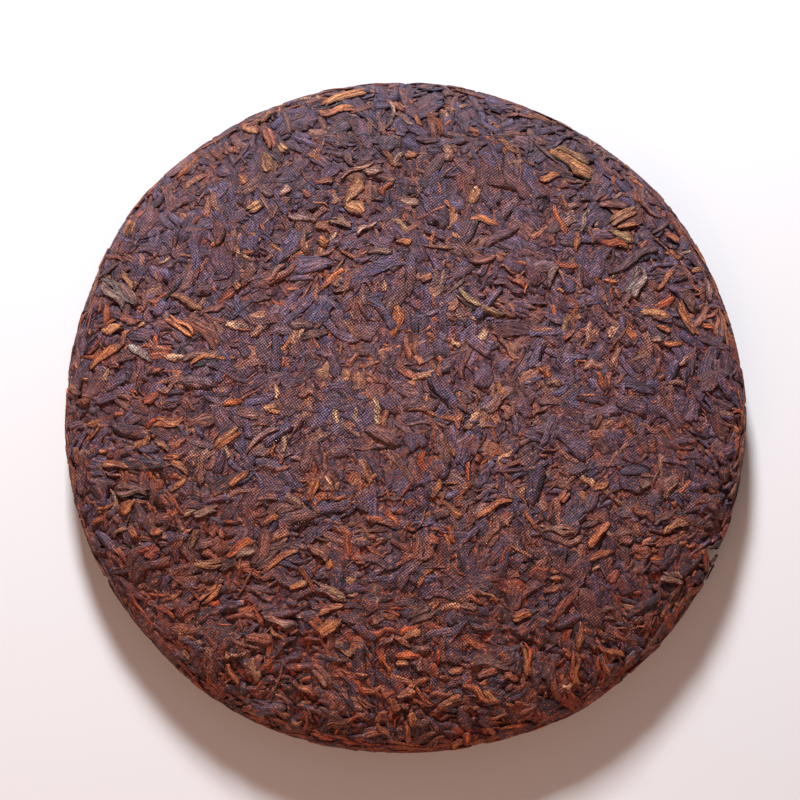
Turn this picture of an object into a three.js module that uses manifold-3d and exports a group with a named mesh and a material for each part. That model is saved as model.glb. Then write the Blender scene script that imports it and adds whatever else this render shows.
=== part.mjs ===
import * as THREE from "three";
import { mergeVertices } from "three/addons/utils/BufferGeometryUtils.js";
import Module from "manifold-3d";

// A pressed cake of ripe tea, lying on its back with the domed front face up.
// Millimetres, +Z up, origin on the table under the middle of the cake.
// The cake is one solid: a round core with twisted leaves fused on all over it.

// Driving dimensions of the core
const coreRadius = 99.2; // to the widest part
const coreHeight = 24.4; // from the table to the middle of the front face
const girdleHeight = 9.6; // height of the widest part
const frontFullness = 3; // exponent of the front's curve: higher is flatter in the middle
const backFullness = 7; // exponent of the back's curve
const standOff = 0.4; // the core's back clears the table, and the leaves on it touch it

// The hollow that the knot of the pressing cloth leaves in the back
const knotDepth = 9.6;
const knotReach = 20; // radius where the hollow has lost most of its depth
const knotSteepness = 3.4;
const knotSides = 24;
const knotRings = [1.55, 1.3, 1.1, 0.92, 0.72, 0.48]; // as shares of knotReach
const knotRadius = 34; // the back's leaves keep outside this

// Unevenness of a cake that is filled by hand and pressed under a stone
const outlineWaves = [
  { lobes: 2, size: 0.45, phase: 0.6 },
  { lobes: 3, size: 0.4, phase: 2.1 },
  { lobes: 5, size: 0.3, phase: 4.4 },
  { lobes: 9, size: 0.2, phase: 1.3 },
];
const faceWaves = [
  { length: 74, heading: 0.4, size: 0.28, phase: 0.9 },
  { length: 41, heading: 1.9, size: 0.22, phase: 3 },
  { length: 23, heading: 2.8, size: 0.16, phase: 5.1 },
];
const bumpSize = 0.65; // rise or fall of the core's leaf-sized bumps
const bumpPitch = [47, 53, 41]; // their closeness along each axis of the ball that the core is bent from

// Faces of the core
const coreDetail = 10; // how often each side of its icosahedron is divided
const rimCrowding = 0.45; // how much closer its vertices lie at the rim than in the middle

// Leaves: sizes are a range each, and rise is the height of a leaf's back over the core
const leafSides = 4;
const leafSpans = 3;
const leafRange = { length: [13, 26], width: [3, 6.5], rise: [0.9, 1.7] };
const leafBow = 0.16; // most sideways bend, as a share of the length
const leafRoot = 2; // sets how deep a leaf's underside lies in the core
const leafGap = 0.2; // least room between two leaves
const placeJitter = 2;
const frontLeaves = 300; // places tried, of which those that stay clear of others are kept
const backLeaves = 120;
const frontSeed = 11;
const backSeed = 23;
const faceUp = Math.PI / 4; // turns one of a leaf's sides to the top
const spineSteps = [-1, -0.6, -0.2, 0.2, 0.6, 1];

// The boldest leaves of the front face, each at its own place.
// x, y: middle of the leaf. turn: its heading in degrees. bow: its bend as a share of its length.
const boldLeaves = [
  { x: 49, y: 76, turn: -33, length: 17, width: 5, bow: 0.04 },
  { x: -64, y: 25.5, turn: -31, length: 17.7, width: 3.4, bow: 0.1 },
  { x: -59, y: 16.5, turn: 4, length: 16, width: 2.2, bow: 0.14 },
  { x: 67, y: 47, turn: 29, length: 16.5, width: 2.2, bow: 0 },
  { x: 83.5, y: 31, turn: -65, length: 13, width: 2.6, bow: 0.06 },
  { x: 22, y: 35, turn: -26, length: 14, width: 2.4, bow: -0.12 },
  { x: 51, y: -71, turn: 88, length: 17.7, width: 2.6, bow: 0.05 },
  { x: 46, y: -57.6, turn: 52, length: 13, width: 3.4, bow: 0.05 },
  { x: 56, y: -44.3, turn: 44, length: 13.4, width: 2.4, bow: 0 },
  { x: 24.5, y: -28, turn: 26, length: 13.4, width: 2.4, bow: 0.14 },
  { x: -50.6, y: -41.6, turn: 42, length: 13, width: 3, bow: 0.06 },
  { x: -40, y: -41, turn: 30, length: 14.4, width: 3, bow: 0.05 },
  { x: -69.8, y: -52.6, turn: -88, length: 12, width: 3, bow: 0.05 },
  { x: -81.6, y: -22, turn: -8, length: 12, width: 4, bow: 0.08 },
  { x: -44, y: -66, turn: 0, length: 13, width: 3.2, bow: 0 },
  { x: 4.6, y: -61, turn: 42, length: 13.6, width: 2.6, bow: 0.1 },
];

// Broad leaves of the back that the cake rests on, evenly round the knot's hollow
const restingLeaves = { count: 3, distance: 52, length: 22, width: 5.2, rise: 1.4 };

// A small gap in the rim, where a leaf has come away
const rimGap = { angle: -23.5, depth: 3.4, width: 4.6, height: 9, sides: 8, spans: 5 };

const belowTableDepth = 40;
const sectionSteps = 80; // spans of each half of the section's curve
const weldSize = 0.01; // vertices closer together than this become one
const goldenAngle = Math.PI * (3 - Math.sqrt(5));

// A repeatable source of numbers from 0 to 1 (the mulberry32 generator)
function seeded(seed) {
  let state = seed;
  return () => {
    state = (state + 0x6d2b79f5) | 0;
    let mixed = Math.imul(state ^ (state >>> 15), 1 | state);
    mixed = (mixed + Math.imul(mixed ^ (mixed >>> 7), 61 | mixed)) ^ mixed;
    return ((mixed ^ (mixed >>> 14)) >>> 0) / 4294967296;
  };
}

function within([low, high], share) {
  return low + (high - low) * share;
}

// The front half of the section: a superellipse from the middle of the face to the girdle
function frontPoint(turn) {
  const radius = coreRadius * Math.sin(turn) ** (2 / frontFullness);
  return new THREE.Vector2(radius, girdleHeight + (coreHeight - girdleHeight) * Math.cos(turn));
}

// The back's half, flatter, from the middle of the back to the girdle
function backPoint(turn) {
  const radius = coreRadius * Math.sin(turn) ** (2 / backFullness);
  return new THREE.Vector2(radius, standOff + (girdleHeight - standOff) * (1 - Math.cos(turn)));
}

// Half of the section, from the middle of the front over the rim to the middle of the back
const turns = Array.from({ length: sectionSteps + 1 }, (_, i) => (Math.PI / 2) * (i / sectionSteps));
const backTurns = turns.slice(0, -1).reverse();
const section = new THREE.SplineCurve([...turns.map(frontPoint), ...backTurns.map(backPoint)]);
const sectionLength = section.getLength();

// The swell of the outline at an angle round the cake
function outlineSwell(angle) {
  return outlineWaves.reduce((sum, { lobes, size, phase }) => {
    return sum + size * Math.sin(lobes * angle + phase);
  }, 0);
}

function faceSwell(x, y) {
  return faceWaves.reduce((sum, { length, heading, size, phase }) => {
    const along = x * Math.cos(heading) + y * Math.sin(heading);
    return sum + size * Math.sin((2 * Math.PI * along) / length + phase);
  }, 0);
}

// A bump's height, from -1 to 1, at a point of the ball that the core is bent from
function bumpAt(x, y, z) {
  return Math.sin(bumpPitch[0] * x + bumpPitch[2] * z) * Math.cos(bumpPitch[1] * y - bumpPitch[2] * z);
}

// Gives a point of the perfectly round cake its place in the uneven one
function uneven(radius, height, angle) {
  const spread = radius + outlineSwell(angle) * (radius / coreRadius) ** 2;
  const x = spread * Math.cos(angle);
  const y = spread * Math.sin(angle);
  const frontShare = THREE.MathUtils.smoothstep(height, girdleHeight, coreHeight);
  return new THREE.Vector3(x, y, height + faceSwell(x, y) * frontShare);
}

// A point at a distance along the section from the middle of the front, and at a height over the core
function onCake(distance, angle, lift) {
  const share = THREE.MathUtils.clamp(distance / sectionLength, 0, 1);
  const at = section.getPointAt(share);
  const along = section.getTangentAt(share);
  return uneven(at.x - along.y * lift, at.y + along.x * lift, angle);
}

// A point on a flat chart of one face, whose middle is the middle of that face
function onFace(face, u, v, lift) {
  const distance = Math.hypot(u, v);
  return onCake(face === "front" ? distance : sectionLength - distance, Math.atan2(v, u), lift);
}

const wasm = await Module();
wasm.setup();

// A closed geometry as a solid: its vertices are welded, and the faces that this closes up are dropped
function solidOf(geometry) {
  geometry.deleteAttribute("normal");
  geometry.deleteAttribute("uv");
  const welded = mergeVertices(geometry, weldSize);
  const corners = welded.index.array;
  const kept = [];
  for (let i = 0; i < corners.length; i += 3) {
    const [a, b, c] = corners.slice(i, i + 3);
    if (a !== b && b !== c && c !== a) {
      kept.push(a, b, c);
    }
  }
  return new wasm.Manifold(
    new wasm.Mesh({
      numProp: 3,
      vertProperties: welded.attributes.position.array,
      triVerts: new Uint32Array(kept),
    }),
  );
}

function moveVertices(geometry, placeOf) {
  const position = geometry.attributes.position;
  for (let i = 0; i < position.count; i++) {
    const place = placeOf(new THREE.Vector3().fromBufferAttribute(position, i));
    position.setXYZ(i, place.x, place.y, place.z);
  }
  return geometry;
}

// The core: an evenly divided ball bent into the cake's shape, with leaf-sized bumps
function coreSolid() {
  const ball = new THREE.IcosahedronGeometry(1, coreDetail);
  moveVertices(ball, ({ x, y, z }) => {
    const polar = Math.acos(THREE.MathUtils.clamp(z, -1, 1));
    const share = (polar + (rimCrowding / 2) * Math.sin(2 * polar)) / Math.PI;
    return onCake(sectionLength * share, Math.atan2(y, x), bumpSize * bumpAt(x, y, z));
  });
  return solidOf(ball);
}

// The knot of the cloth: its foot flares out into the back's flat
function knotSolid() {
  const wall = knotRings.map((share) => {
    const height = standOff + knotDepth * Math.exp(-(share ** knotSteepness));
    return new THREE.Vector2(share * knotReach, height);
  });
  const foot = new THREE.Vector2(wall[0].x, -belowTableDepth);
  const profile = [new THREE.Vector2(0, foot.y), foot, ...wall, new THREE.Vector2(0, standOff + knotDepth)];
  return solidOf(new THREE.LatheGeometry(profile, knotSides).rotateX(Math.PI / 2));
}

// A point of a leaf: across it and along it, each from -1 to 1, and its height over the core
function onLeaf(leaf, across, along, lift) {
  const turn = THREE.MathUtils.degToRad(leaf.turn);
  const u = (along * leaf.length) / 2;
  const v = (across * leaf.width) / 2 + leaf.bow * leaf.length * (0.5 - along ** 2);
  const x = leaf.x + u * Math.cos(turn) - v * Math.sin(turn);
  const y = leaf.y + u * Math.sin(turn) + v * Math.cos(turn);
  return onFace(leaf.face, x, y, lift);
}

// One leaf: a ball of few faces, drawn out, bowed and laid along the cake's skin
function leafSolid(leaf) {
  const ball = new THREE.SphereGeometry(1, leafSides, leafSpans).rotateY(faceUp).rotateZ(Math.PI / 2);
  const hand = leaf.face === "front" ? 1 : -1; // keeps the outside out on both faces
  moveVertices(ball, ({ x, y, z }) => onLeaf(leaf, hand * y, x, z * (z > 0 ? leaf.rise : leafRoot)));
  return solidOf(ball);
}

// Leaves laid over a face by the golden angle, each turned, sized and shifted a little at random
function scatteredLeaves(face, count, seed, clearRadius) {
  const random = seeded(seed);
  const chartRadius = sectionLength / 2;
  return Array.from({ length: count }, (_, i) => {
    const share = (i + 0.5) / count;
    const distance = Math.sqrt(clearRadius ** 2 + (chartRadius ** 2 - clearRadius ** 2) * share);
    const angle = i * goldenAngle;
    return {
      face,
      x: distance * Math.cos(angle) + placeJitter * (random() - 0.5),
      y: distance * Math.sin(angle) + placeJitter * (random() - 0.5),
      turn: 180 * random(),
      length: within(leafRange.length, random()),
      width: within(leafRange.width, random()),
      bow: leafBow * (2 * random() - 1),
      rise: within(leafRange.rise, random()),
    };
  });
}

function leavesToRestOn() {
  const { count, distance, ...size } = restingLeaves;
  return Array.from({ length: count }, (_, i) => {
    const angle = (2 * Math.PI * i) / count;
    const x = distance * Math.cos(angle);
    const y = distance * Math.sin(angle);
    return { face: "back", x, y, turn: THREE.MathUtils.radToDeg(angle) + 90, bow: 0, ...size };
  });
}

// Keeps each leaf that stays clear of those kept before it, so that every leaf shows whole
function clearOfEachOther(leaves) {
  const kept = [];
  for (const leaf of leaves) {
    const spine = spineSteps.map((step) => onLeaf(leaf, 0, step, 0));
    const touches = kept.some((other) => {
      const least = (leaf.width + other.leaf.width) / 2 + leafGap;
      return spine.some((p) => other.spine.some((q) => p.distanceTo(q) < least));
    });
    if (!touches) {
      kept.push({ leaf, spine });
    }
  }
  return kept.map(({ leaf }) => leaf);
}

// The space below the table, which trims the back's leaves to flats that the cake rests on
function belowTable() {
  const side = 3 * coreRadius;
  return solidOf(new THREE.BoxGeometry(side, side, belowTableDepth).translate(0, 0, -belowTableDepth / 2));
}

function gapSolid() {
  const hollow = new THREE.SphereGeometry(1, rimGap.sides, rimGap.spans);
  hollow.scale(rimGap.depth, rimGap.width / 2, rimGap.height / 2);
  hollow.translate(coreRadius, 0, girdleHeight);
  hollow.rotateZ(THREE.MathUtils.degToRad(rimGap.angle));
  return solidOf(hollow);
}

function geometryOf(solid) {
  const { numProp, numVert, vertProperties, triVerts } = solid.getMesh();
  const positions = new Float32Array(numVert * 3);
  for (let i = 0; i < numVert; i++) {
    positions.set(vertProperties.subarray(i * numProp, i * numProp + 3), i * 3);
  }
  return new THREE.BufferGeometry()
    .setAttribute("position", new THREE.BufferAttribute(positions, 3))
    .setIndex(new THREE.BufferAttribute(new Uint32Array(triVerts), 1));
}

function cakeGeometry() {
  const leaves = clearOfEachOther([
    ...boldLeaves.map((leaf) => ({ face: "front", rise: leafRange.rise[1], ...leaf })),
    ...leavesToRestOn(),
    ...scatteredLeaves("front", frontLeaves, frontSeed, 0),
    ...scatteredLeaves("back", backLeaves, backSeed, knotRadius),
  ]);
  const fused = wasm.Manifold.union([coreSolid(), ...leaves.map(leafSolid)]);
  const trimmed = [knotSolid(), gapSolid(), belowTable()].reduce((left, cut) => left.subtract(cut), fused);
  const geometry = geometryOf(trimmed);
  geometry.computeBoundingBox();
  const middle = geometry.boundingBox.getCenter(new THREE.Vector3());
  geometry.translate(-middle.x, -middle.y, 0);
  geometry.computeVertexNormals();
  return geometry;
}

const pressedLeaf = new THREE.MeshStandardMaterial({ color: 0x5c3d3a, roughness: 0.62, metalness: 0 });
const cake = new THREE.Mesh(cakeGeometry(), pressedLeaf);
cake.name = "tea_cake";

const teaCake = new THREE.Group();
teaCake.add(cake);

export default teaCake;
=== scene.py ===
from math import cos, pi, radians, sin

import bmesh
import bpy
import numpy as np
from mathutils import Matrix, Vector, noise


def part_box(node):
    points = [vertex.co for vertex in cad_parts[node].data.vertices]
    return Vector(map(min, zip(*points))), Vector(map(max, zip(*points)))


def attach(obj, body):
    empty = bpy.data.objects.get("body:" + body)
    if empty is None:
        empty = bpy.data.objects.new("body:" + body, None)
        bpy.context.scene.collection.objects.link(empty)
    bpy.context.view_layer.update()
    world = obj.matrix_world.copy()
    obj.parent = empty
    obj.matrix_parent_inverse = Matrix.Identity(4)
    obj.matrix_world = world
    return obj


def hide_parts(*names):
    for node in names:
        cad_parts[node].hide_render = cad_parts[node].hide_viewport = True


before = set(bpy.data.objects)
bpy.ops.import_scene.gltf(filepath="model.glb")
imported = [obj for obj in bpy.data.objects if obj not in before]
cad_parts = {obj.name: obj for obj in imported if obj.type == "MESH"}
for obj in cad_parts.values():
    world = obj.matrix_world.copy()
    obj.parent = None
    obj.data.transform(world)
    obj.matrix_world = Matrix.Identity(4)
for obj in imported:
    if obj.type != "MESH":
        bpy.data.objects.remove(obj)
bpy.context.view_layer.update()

lowCorner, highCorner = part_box("tea_cake")
mm = 0.001

# the shape of the cake, in millimetres; the core and every leaf lie on this skin
leafRise = 1.24  # of the solid's leaves over its core
cake = dict(
    radius=(highCorner[0] - lowCorner[0]) / 2 / mm,  # to the widest part of the core
    height=highCorner[2] / mm - leafRise,
    girdle=9.6,  # height of the widest part
    frontFullness=3.0, backFullness=7.0, standOff=0.4,
    restingHeight=0.5,  # what is lower is flattened towards the table
    knotDepth=9.6, knotReach=20.0, knotSteepness=3.4,
    creases=11,  # folds that the gathered cloth leaves in the knot's hollow
    creaseDepth=0.9,
    creaseStart=(5, 12),  # distances from the middle where they begin and fade
    creaseEnd=(24, 36),
    outlineWaves=((2, 0.45, 0.6), (3, 0.4, 2.1), (5, 0.3, 4.4), (9, 0.2, 1.3)),  # lobes, size, phase
    bulges=((144, 14, 2.0), (302, 13, 1.7)),  # angle, half width in degrees, and size
    faceWaves=(  # length, heading, size, phase
        (74, 0.4, 0.28, 0.9), (41, 1.9, 0.22, 3.0), (23, 2.8, 0.16, 5.1),
    ),
    gapAngle=radians(-23.5),  # a small gap in the rim
    gapDepth=4.6,
    gapReach=(4.0, 1.9, 5.5),  # of the dent in the core
    gapRoom=(4.2, 1.7, 5.5),  # kept free of leaves
)


def smoothStep(x, low, high):
    share = np.clip((x - low) / (high - low), 0, 1)
    return share * share * (3 - 2 * share)


def backHeight(radius):
    bulge = np.sqrt(1 - np.minimum(radius / cake["radius"], 1) ** cake["backFullness"])
    hollow = cake["knotDepth"] * np.exp(-((radius / cake["knotReach"]) ** cake["knotSteepness"]))
    return cake["standOff"] + hollow + (cake["girdle"] - cake["standOff"]) * (1 - bulge)


def sectionCurve():
    # half of the cross-section, from the middle of the front over the rim to the middle of the back
    turn = np.linspace(0, pi / 2, 500)
    frontRadius = cake["radius"] * np.sin(turn) ** (2 / cake["frontFullness"])
    frontHeight = cake["girdle"] + (cake["height"] - cake["girdle"]) * np.cos(turn)
    turn = np.linspace(pi / 2, 0.03, 500)[1:]
    backRadius = cake["radius"] * np.sin(turn) ** (2 / cake["backFullness"])
    backRadius = np.concatenate([backRadius, np.linspace(backRadius[-1], 0, 300)[1:]])
    radius = np.concatenate([frontRadius, backRadius])
    height = np.concatenate([frontHeight, backHeight(backRadius)])
    length = np.concatenate([[0], np.cumsum(np.hypot(np.diff(radius), np.diff(height)))])
    even = np.linspace(0, length[-1], 1500)
    curve = [np.interp(even, length, line) for line in (radius, height)]
    return (even, *curve, *(np.gradient(line, even) for line in curve))


section = sectionCurve()
sectionLength = section[0][-1]
chartRadius = sectionLength / 2


def onSkin(distance, angle, lift):
    # a point by its distance from the middle of the front, its angle, and its height over the core
    radius, height, outward, upward = (np.interp(distance, section[0], line) for line in section[1:])
    reach = radius - upward * lift
    rise = height + outward * lift
    swell = sum(size * np.sin(lobes * angle + phase) for lobes, size, phase in cake["outlineWaves"])
    for place, halfWidth, size in cake["bulges"]:
        away = (np.degrees(angle) - place + 180) % 360 - 180
        swell = swell + size * np.exp(-((away / halfWidth) ** 2))
    reach = reach + swell * (reach / cake["radius"]) ** 2
    x = reach * np.cos(angle)
    y = reach * np.sin(angle)
    wave = sum(
        size * np.sin(2 * pi * (x * cos(heading) + y * sin(heading)) / length + phase)
        for length, heading, size, phase in cake["faceWaves"]
    )
    rise = rise + wave * smoothStep(rise, cake["girdle"], cake["height"])
    low = cake["restingHeight"]
    rise = np.where(rise < low, low * np.exp(np.minimum(rise - low, 0) * 2), rise)
    return np.stack([x, y, rise], axis=-1)


def onFace(face, u, v, lift):
    # a point on the flat chart round the middle of one face
    distance = np.hypot(u, v)
    angle = np.arctan2(v, u)
    if face == "front":
        return onSkin(distance, angle, lift)
    fold = np.abs(np.sin(cake["creases"] * angle / 2 + 0.7 * np.sin(3 * angle))) ** 0.6
    window = smoothStep(distance, *cake["creaseStart"]) * (1 - smoothStep(distance, *cake["creaseEnd"]))
    return onSkin(sectionLength - distance, angle, lift - cake["creaseDepth"] * (1 - fold) * window)


gapPlace = onSkin(chartRadius, cake["gapAngle"], 0)
gapPlace[2] = cake["girdle"]


def fromGap(points, reach):
    # how far points are from the gap, 1 on an ellipsoid of this reach
    return np.linalg.norm((points - gapPlace) / reach, axis=-1)


# shader maths: a wire is a node's output, and expressions on wires add their nodes
class Wire:
    def __init__(self, finish, socket):
        self.finish = finish
        self.socket = socket

    def output(self, number):
        return Wire(self.finish, self.socket.node.outputs[number])

    def maths(self, operation, other=0.0, swapped=False):
        pair = (other, self) if swapped else (self, other)
        return self.finish.node("ShaderNodeMath", {"operation": operation}, dict(enumerate(pair)))

    def __add__(self, other):
        return self.maths("ADD", other)

    def __sub__(self, other):
        return self.maths("SUBTRACT", other)

    def __mul__(self, other):
        return self.maths("MULTIPLY", other)

    def __rsub__(self, other):
        return self.maths("SUBTRACT", other, swapped=True)

    __radd__ = __add__
    __rmul__ = __mul__


class Finish:
    def __init__(self, name):
        self.material = bpy.data.materials.new(name)
        self.material.use_nodes = True
        self.tree = self.material.node_tree
        self.shader = self.tree.nodes["Principled BSDF"]

    def node(self, kind, settings=None, sockets=None, output=0):
        made = self.tree.nodes.new(kind)
        for name, value in (settings or {}).items():
            setattr(made, name, value)
        for name, value in (sockets or {}).items():
            self.feed(made.inputs[name], value)
        return Wire(self, made.outputs[output])

    def feed(self, socket, value):
        if isinstance(value, Wire):
            self.tree.links.new(value.socket, socket)
        else:
            socket.default_value = value

    def set(self, **sockets):
        for name, value in sockets.items():
            self.feed(self.shader.inputs[name.replace("_", " ")], value)

    def mix(self, share, a, b, mode="MIX"):
        settings = {"data_type": "RGBA", "blend_type": mode}
        return self.node("ShaderNodeMix", settings, {0: share, 6: a, 7: b}, 2)

    def tinted(self, colour, tint, share=1.0):
        return self.mix(share, colour, tint, "MULTIPLY")

    def ramp(self, stops, value):
        made = self.node("ShaderNodeValToRGB", {}, {0: value})
        elements = made.socket.node.color_ramp.elements
        while len(elements) < len(stops):
            elements.new(0.5)
        for element, (place, colour) in zip(elements, stops):
            element.position = place
            element.color = (*colour, 1)
        return made

    def vector(self, operation, *vectors, output=0):
        return self.node("ShaderNodeVectorMath", {"operation": operation}, dict(enumerate(vectors)), output)

    def split(self, where):
        return self.node("ShaderNodeSeparateXYZ", {}, {0: where})

    def attribute(self, name, output=2):
        return self.node("ShaderNodeAttribute", {"attribute_name": name}, output=output)

    def range(self, value, low, high, newLow=0.0, newHigh=1.0):
        sockets = {0: value, 1: low, 2: high, 3: newLow, 4: newHigh}
        return self.node("ShaderNodeMapRange", {"interpolation_type": "SMOOTHSTEP"}, sockets)

    def noise(self, where, scale, detail=2.0, roughness=0.5, warp=0.0):
        sockets = dict(Vector=where, Scale=scale, Detail=detail, Roughness=roughness, Distortion=warp)
        return self.node("ShaderNodeTexNoise", {}, sockets)

    def texture(self, where, name, *limits):
        return self.range(self.noise(where, *textures[name]), *(limits or (0.3, 0.7)))

    def close(self, colour, roughness, height, specular):
        bump = self.node("ShaderNodeBump", {}, {"Strength": 1.0, "Distance": mm, "Height": height})
        self.set(Base_Color=colour, Roughness=roughness, Normal=bump, Specular_IOR_Level=specular)
        return self.material


def linear(red, green, blue):
    # a screen colour of 0 to 255 as a linear one
    share = np.array([red, green, blue]) / 255
    return np.where(share <= 0.04045, share / 12.92, ((share + 0.055) / 1.055) ** 2.4)


# the finishes
textures = dict(  # noises by scale, detail, roughness and warp
    specks=(2100.0, 3.0, 0.65), mottle=(420.0, 3.0, 0.6), patches=(48.0, 2.0),
    rust=(230.0, 4.0, 0.65), flecks=(800.0, 3.0, 0.65), weaveWander=(60.0, 1.0),
    creases=(1.6, 3.0, 0.6), furrows=(1.0, 3.0, 0.6, 0.6),
    coreFurrows=(1.0, 3.0, 0.6, 0.5), coreShift=(330.0, 2.0), coreSlits=(500.0, 1.0),
)
weave = dict(pitch=0.68 * mm, turn=radians(38), depth=0.2, shade=1.3, contrast=1.8)
shadeTint = (1.45, 0.44, 0.5, 1)
rustTint = (*linear(147, 75, 35), 1)
fleckTint = (*linear(164, 106, 72), 1)


def clothWeave(finish, place):
    # the print of the pressing cloth: crossed threads at a slant, a little wavy
    wander = finish.noise(place, *textures["weaveWander"]) - 0.5
    axes = finish.split(place)
    x = axes + wander * (2.0 * mm)
    y = axes.output(1) + wander * (1.6 * mm)
    across = 2 * pi / weave["pitch"] * cos(weave["turn"])
    down = 2 * pi / weave["pitch"] * sin(weave["turn"])
    warp = (x * across + y * down).maths("SINE")
    weft = (y * across - x * down).maths("SINE")
    return (warp + weft) * 0.25 + 0.5


def weavePatches(finish, place):
    return finish.texture(place, "patches", 0.32, 0.56, 0.25, 1.0)


def woven(shade, threads, share):
    # the threads' print makes a shade darker and lighter
    threads = threads * weave["contrast"] - weave["contrast"] / 2
    return shade * (1 + share * weave["shade"] * threads)


def shadedTint(finish, tint, shade):
    # darker parts are redder as well, darker tones and painted shade alike, giving the painted shade the
    # colour of shadow
    low = finish.range(shade, 0.15, 0.8, 1.0, 0.0)
    grey = finish.node("ShaderNodeCombineXYZ", {}, {0: shade, 1: shade, 2: shade})
    return finish.tinted(finish.mix(low, tint, finish.tinted(tint, shadeTint)), grey)


def crumbTints(finish, place, tint, amount):
    # rusty patches and small tan flecks over the leaves' own tint, more of them low down
    amount = finish.range(finish.split(place).output(1), -0.09, 0.03, 1.7, 0.7) * amount
    rust = finish.texture(place, "rust", 0.5, 0.68) * amount
    flecks = finish.texture(place, "flecks", 0.54, 0.63) * amount
    return finish.mix(flecks, finish.mix(rust, tint, rustTint), fleckTint)


paintedLight = dict(  # painted light and shade that lie over the whole cake, and random warm and cool patches
    stops=(  # from the lower rim to the upper one
        (0.0, (0.8, 0.688, 0.592)), (0.1, (0.781, 0.676, 0.59)),
        (0.25, (0.687, 0.614, 0.58)), (0.41, (0.757, 0.8, 0.824)),
        (0.59, (0.892, 0.952, 0.96)), (0.75, (0.782, 0.859, 0.91)),
        (0.9, (0.598, 0.687, 0.797)), (1.0, (0.56, 0.656, 0.776)),
    ),
    # the middle paler than the rim: a painted pool of light
    middle=(1.4, 1.4, 1.45, 1), rim=(1.21, 1.1, 1.16, 1),
    warmPatch=(1.07, 0.97, 0.87, 1), coolPatch=(0.94, 1.03, 1.12, 1),
)


def withPaintedLight(finish, place, colour, share=1.0):
    # painted light and shade: the lower part a little warmer, the upper part cooler, and the middle paler, as
    # a painted pool of light
    tint = finish.ramp(paintedLight["stops"], (finish.split(place).output(1) + 0.1) * 5.0)
    reach = finish.vector("LENGTH", place, output=1)
    paintedPool = finish.mix(finish.range(reach, 0.02, 0.095), paintedLight["middle"], paintedLight["rim"])
    patch = finish.mix(finish.texture(place, "patches", 0.36, 0.64), paintedLight["warmPatch"], paintedLight["coolPatch"])
    return finish.tinted(colour, finish.tinted(finish.tinted(tint, paintedPool), patch), share)


def leafFinish(name, look):
    finish = Finish(name)
    place = finish.node("ShaderNodeTexCoord", output=3)
    grain = finish.node("ShaderNodeUVMap", {"uv_map": "grain"})
    tint = finish.attribute("leafTint", 0)
    gloss = tint.output(3)
    pressed = finish.attribute("pressed")
    ridge = finish.attribute("ridge")

    # furrows run along the leaf, creases across it
    furrows = finish.texture(finish.vector("MULTIPLY", grain, (0.22, 1.8, 1.0)), "furrows")
    creases = finish.texture(grain, "creases")
    specks = finish.texture(place, "specks")
    mottle = finish.texture(place, "mottle")
    threads = clothWeave(finish, place)
    weaveShare = pressed * weavePatches(finish, place) * look["weave"]

    shade = furrows * look["furrowShade"] + mottle * look["mottle"] + creases * look["creaseShade"]
    shade = shade + specks * look["speckShade"] + look["shade"]
    # painted shade: each leaf darker at its sides and underneath, where shadow falls between leaves
    shade = shade * (ridge * look["edgeShade"] + (1 - look["edgeShade"]))
    rust = (1 - pressed * 0.5) * look["rust"]
    colour = withPaintedLight(finish, place, crumbTints(finish, place, tint, rust), look["paintedLight"])
    colour = shadedTint(finish, colour, woven(shade, threads, weaveShare))

    height = furrows * look["furrowDepth"] + creases * look["creaseDepth"] + specks * look["speckDepth"]
    height = height + threads * weaveShare * weave["depth"]
    roughness = look["roughness"] + (specks - 0.5) * look["roughSpecks"] + (0.5 - gloss) * look["roughSpread"]
    return finish.close(colour, roughness, height, look["specular"])


# the leaves, made as joined meshes from arrays
pressPlane = 0.6  # height over the core's skin to which the cloth has pressed the leaves


def groundLevel(loose):
    # the ground is flush where the cloth pressed hard, and lower where leaves stand free
    return 0.42 - 0.9 * loose


loosePatches = (  # places pressed harder and less hard on the front: middle, reach and size
    (-14, -3, 22, -0.35), (-61, 62, 14, -0.35), (62, -54, 15, -0.4), (21, -51, 12, -0.3),
    (-60, -66, 14, -0.3), (-49, 5, 10, -0.25), (30, 62, 16, -0.25), (-8, 47, 14, 0.35),
    (24, 32, 12, 0.3), (39, 11, 14, 0.25), (-23, -48, 12, 0.3), (-79, 26, 12, 0.25),
    (19, -27, 12, 0.3), (57, 64, 15, 0.3), (-50, -30, 16, 0.2),
)


def leafField(u, v):
    # the heading that the leaves of one neighbourhood share
    turn = 0.35 + 1.1 * np.sin(u / 19 + 1.3) * np.cos(v / 23 - 0.4)
    return turn + 0.9 * np.sin((u + v) / 31 + 2) + 0.5 * np.sin((u - 2 * v) / 13)


def looseness(face, u, v):
    # 0 where the cloth has pressed the leaves flush, 1 where they stand free of each other
    patches = sum(size * np.exp(-((u - x) ** 2 + (v - y) ** 2) / r**2) for x, y, r, size in loosePatches)
    wave = np.sin(u / 15 + 0.8) * np.sin(v / 17 + 2.2) + 0.8 * np.sin((u + 1.4 * v) / 11 + 0.3)
    edge = smoothStep(np.hypot(u, v), 66, 98)
    low = smoothStep(-v, 10, 80) * 0.22
    front = 0.36 + 0.14 * wave + 0.4 * edge + low + patches
    back = 0.18 + 0.26 * wave + 0.4 * edge
    atRim = smoothStep(np.hypot(u, v), chartRadius - 12, chartRadius)  # the two faces agree where they meet
    return np.clip(front if face == "front" else back + (front - back) * atRim, 0, 1)


def spiralPlaces(count, inner, outer, rng, jitter):
    # places spread evenly by the golden angle, then shaken
    share = (np.arange(count) + 0.5) / count
    distance = np.sqrt(inner**2 + (outer**2 - inner**2) * share)
    angle = np.arange(count) * pi * (3 - np.sqrt(5)) + rng.uniform(0, 2 * pi)
    u = distance * np.cos(angle) + rng.normal(0, jitter, count)
    v = distance * np.sin(angle) + rng.normal(0, jitter, count)
    return u, v


def between(rng, pair, count, power=1.0):
    return pair[0] + (pair[1] - pair[0]) * rng.uniform(0, 1, count) ** power


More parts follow.
